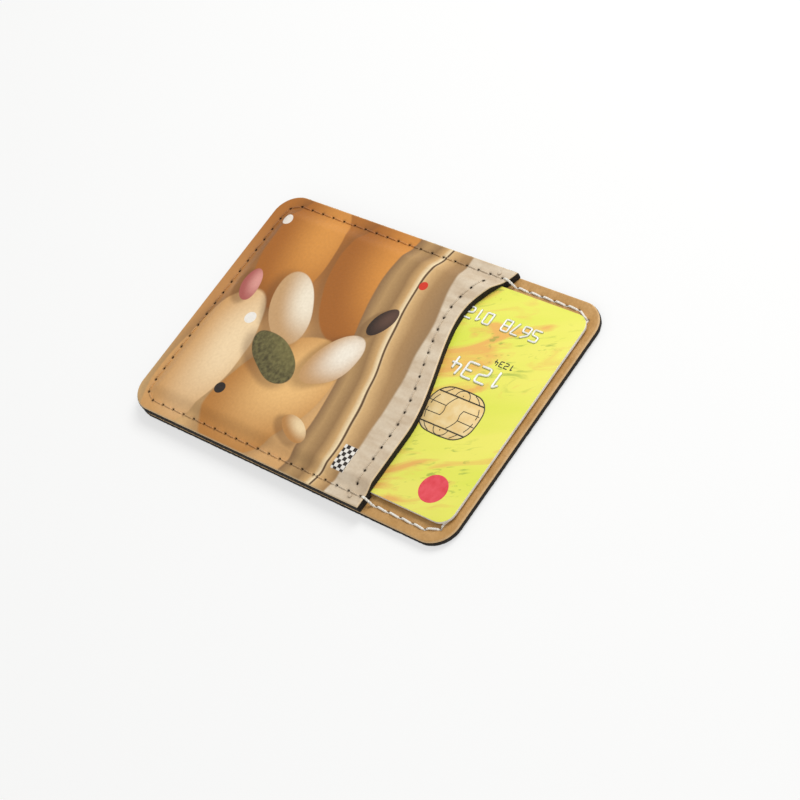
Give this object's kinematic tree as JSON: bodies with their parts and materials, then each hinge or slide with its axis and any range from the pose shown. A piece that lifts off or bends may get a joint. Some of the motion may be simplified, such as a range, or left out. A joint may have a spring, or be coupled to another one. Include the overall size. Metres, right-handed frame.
{
  "type": "stick on card holder",
  "caption": "Flat sewn pocket with an adhesive back: a full back panel, a shorter arched front panel with an S-shaped mouth, and a bank card lying in it.",
  "frame": {"origin": "centre of the outline, on the underside of the adhesive pad", "axes": "+Z from the adhesive pad towards the front panel, +Y along the length towards the open end, +X across the width"},
  "size_m": [0.0624, 0.0922, 0.0054],
  "materials": {
    "foam": "matte adhesive foam",
    "core": "black fibrous board, fuzzy where it is cut",
    "tan": "fine matte grain",
    "print": "smooth printed face with fields of warm colour",
    "white_thread": "twisted polyester thread",
    "dark_thread": "twisted polyester thread",
    "print_thread": "thread printed over together with the face",
    "card": "laminated plastic with a marbled print",
    "contact_gold": "gold plated"
  },
  "bodies": {
    "root": {"adhesive_pad": "foam", "back_core": "core", "back_skin": "tan", "front_core": "core", "front_skin": "print", "seam_needle_thread": "white_thread", "seam_bobbin_thread": "dark_thread", "mouth_needle_thread": "print_thread", "mouth_bobbin_thread": "dark_thread", "card_body": "card", "card_contact_plate": "contact_gold"}
  },
  "joints": []
}
